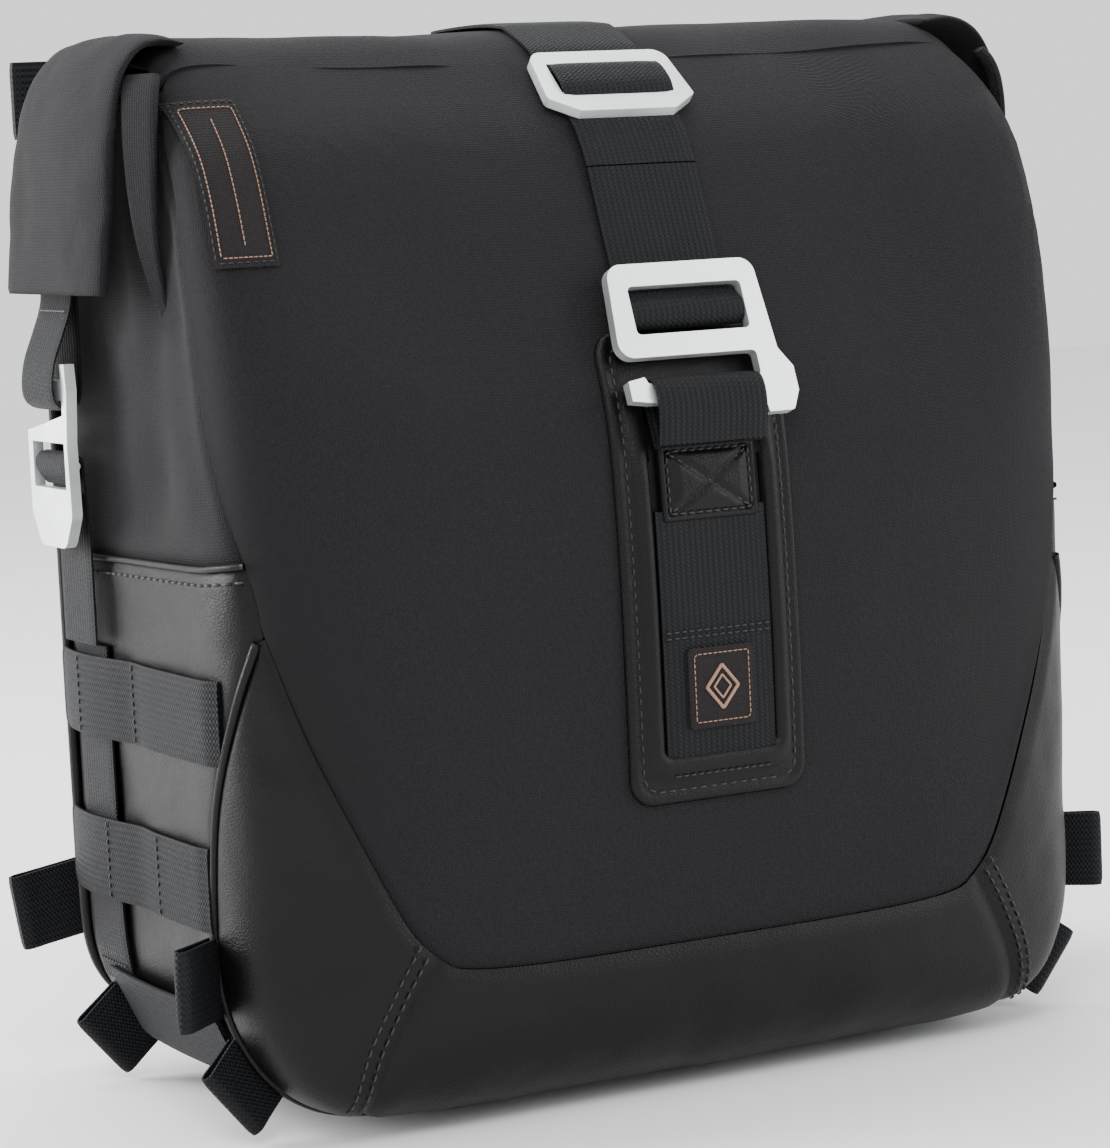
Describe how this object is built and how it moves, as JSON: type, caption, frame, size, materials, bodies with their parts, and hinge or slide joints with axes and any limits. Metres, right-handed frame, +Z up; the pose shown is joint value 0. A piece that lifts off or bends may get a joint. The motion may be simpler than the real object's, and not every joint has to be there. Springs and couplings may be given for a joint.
{
  "type": "pannier bag",
  "caption": "Roll-top side pannier in canvas and synthetic leather, with webbing rows, metal strap hooks and a quick-release back plate.",
  "frame": {"origin": "middle of the overall footprint, on the plane of the flat base", "axes": "+X the bag's right as seen from in front, -Y the front with the hook strap, +Y the back with the mounting plate, +Z up"},
  "size_m": [0.3306, 0.1796, 0.332],
  "materials": {
    "canvas": "matte coated canvas, fine twill",
    "synthetic_leather": "smooth semi-gloss synthetic leather",
    "back_fabric": "heavy coated fabric",
    "liner": "coated waterproof liner",
    "board": "polyethylene board",
    "moulded_plastic": "moulded glass-filled nylon, fine texture",
    "steel": "zinc-plated",
    "hook_metal": "satin bead-blasted",
    "webbing": "ribbed polyamide webbing",
    "emblem": "small patch with copper-coloured stitched border",
    "label": "woven label, copper-coloured border, no text"
  },
  "bodies": {
    "bag": {"front_canvas": "canvas", "front_leather_bottom": "synthetic_leather", "front_leather_left": "synthetic_leather", "front_leather_right": "synthetic_leather", "gusset_canvas_left": "canvas", "gusset_leather_left": "synthetic_leather", "gusset_canvas_right": "canvas", "gusset_leather_right": "synthetic_leather", "base_panel": "synthetic_leather", "back_panel": "back_fabric", "inner_liner": "liner", "mouth_hem": "canvas", "back_board": "board", "base_board": "board", "mounting_plate": "moulded_plastic", "latch_cover": "moulded_plastic", "latch_spring": "steel", "plate_screws": "steel", "plate_nuts": "steel", "leather_patch": "synthetic_leather", "patch_webbing": "webbing", "tack_panel": "synthetic_leather", "emblem_patch": "emblem", "woven_label": "label", "front_catch_loop": "webbing", "side_strap_lower_left": "webbing", "webbing_row_one_left": "webbing", "webbing_row_two_left": "webbing", "webbing_row_three_left": "webbing", "side_strap_lower_right": "webbing", "webbing_row_one_right": "webbing", "webbing_row_two_right": "webbing", "webbing_row_three_right": "webbing", "lashing_loops_top": "webbing", "lashing_loops_rear": "webbing", "lashing_loops_rear_bottom": "webbing", "lashing_loops_front": "webbing", "lashing_loops_front_bottom": "webbing"},
    "roll_top": {"top_canvas": "canvas", "roll_core": "canvas", "roll_stiffener": "board", "roll_end_left": "canvas", "roll_end_right": "canvas", "side_loop_left": "webbing", "side_loop_right": "webbing", "centre_strap_top": "webbing"},
    "adjuster": {"strap_adjuster": "hook_metal"},
    "front_strap": {"centre_strap_front": "webbing"},
    "front_hook": {"front_hook": "hook_metal"},
    "left_strap": {"side_strap_upper_left": "webbing"},
    "left_hook": {"side_hook_left": "hook_metal"},
    "right_strap": {"side_strap_upper_right": "webbing"},
    "right_hook": {"side_hook_right": "hook_metal"},
    "latch": {"latch_bolt": "steel", "latch_knob": "moulded_plastic"}
  },
  "joints": [
    {"name": "roll_top_opening", "type": "hinge", "parent": "bag", "child": "roll_top", "pos_m": [0, 0.0662, 0.3206], "axis": [-1, 0, 0], "range_deg": [0, 110], "deforming": ["front_catch_loop", "side_loop_left", "side_loop_right"]},
    {"name": "adjuster_slide", "type": "slide", "parent": "roll_top", "child": "adjuster", "axis": [0, 0.7407, 0.6718], "range_m": [-0.006, 0.01]},
    {"name": "front_strap_lift", "type": "hinge", "parent": "roll_top", "child": "front_strap", "pos_m": [0, -0.05212, 0.27968], "axis": [-1, 0, 0], "range_deg": [0, 70]},
    {"name": "front_hook_swing", "type": "hinge", "parent": "front_strap", "child": "front_hook", "pos_m": [0, -0.07218, 0.23594], "axis": [-1, 0, 0], "range_deg": [-5, 10]},
    {"name": "side_strap_left_lift", "type": "hinge", "parent": "bag", "child": "left_strap", "pos_m": [-0.1522, 0.042, 0.142], "axis": [0, -1, 0], "range_deg": [0, 80]},
    {"name": "side_hook_left_swing", "type": "hinge", "parent": "left_strap", "child": "left_hook", "pos_m": [-0.155, 0.042, 0.197], "axis": [0, -1, 0], "range_deg": [-8, 5]},
    {"name": "side_strap_right_lift", "type": "hinge", "parent": "bag", "child": "right_strap", "pos_m": [0.1522, 0.042, 0.142], "axis": [0, 1, 0], "range_deg": [0, 80]},
    {"name": "side_hook_right_swing", "type": "hinge", "parent": "right_strap", "child": "right_hook", "pos_m": [0.155, 0.042, 0.197], "axis": [0, 1, 0], "range_deg": [-8, 5]},
    {"name": "latch_pull", "type": "slide", "parent": "bag", "child": "latch", "axis": [1, 0, 0], "range_m": [0, 0.009], "stiffness_N_per_m": 450, "springref_m": -0.006, "deforming": ["latch_spring"]}
  ]
}
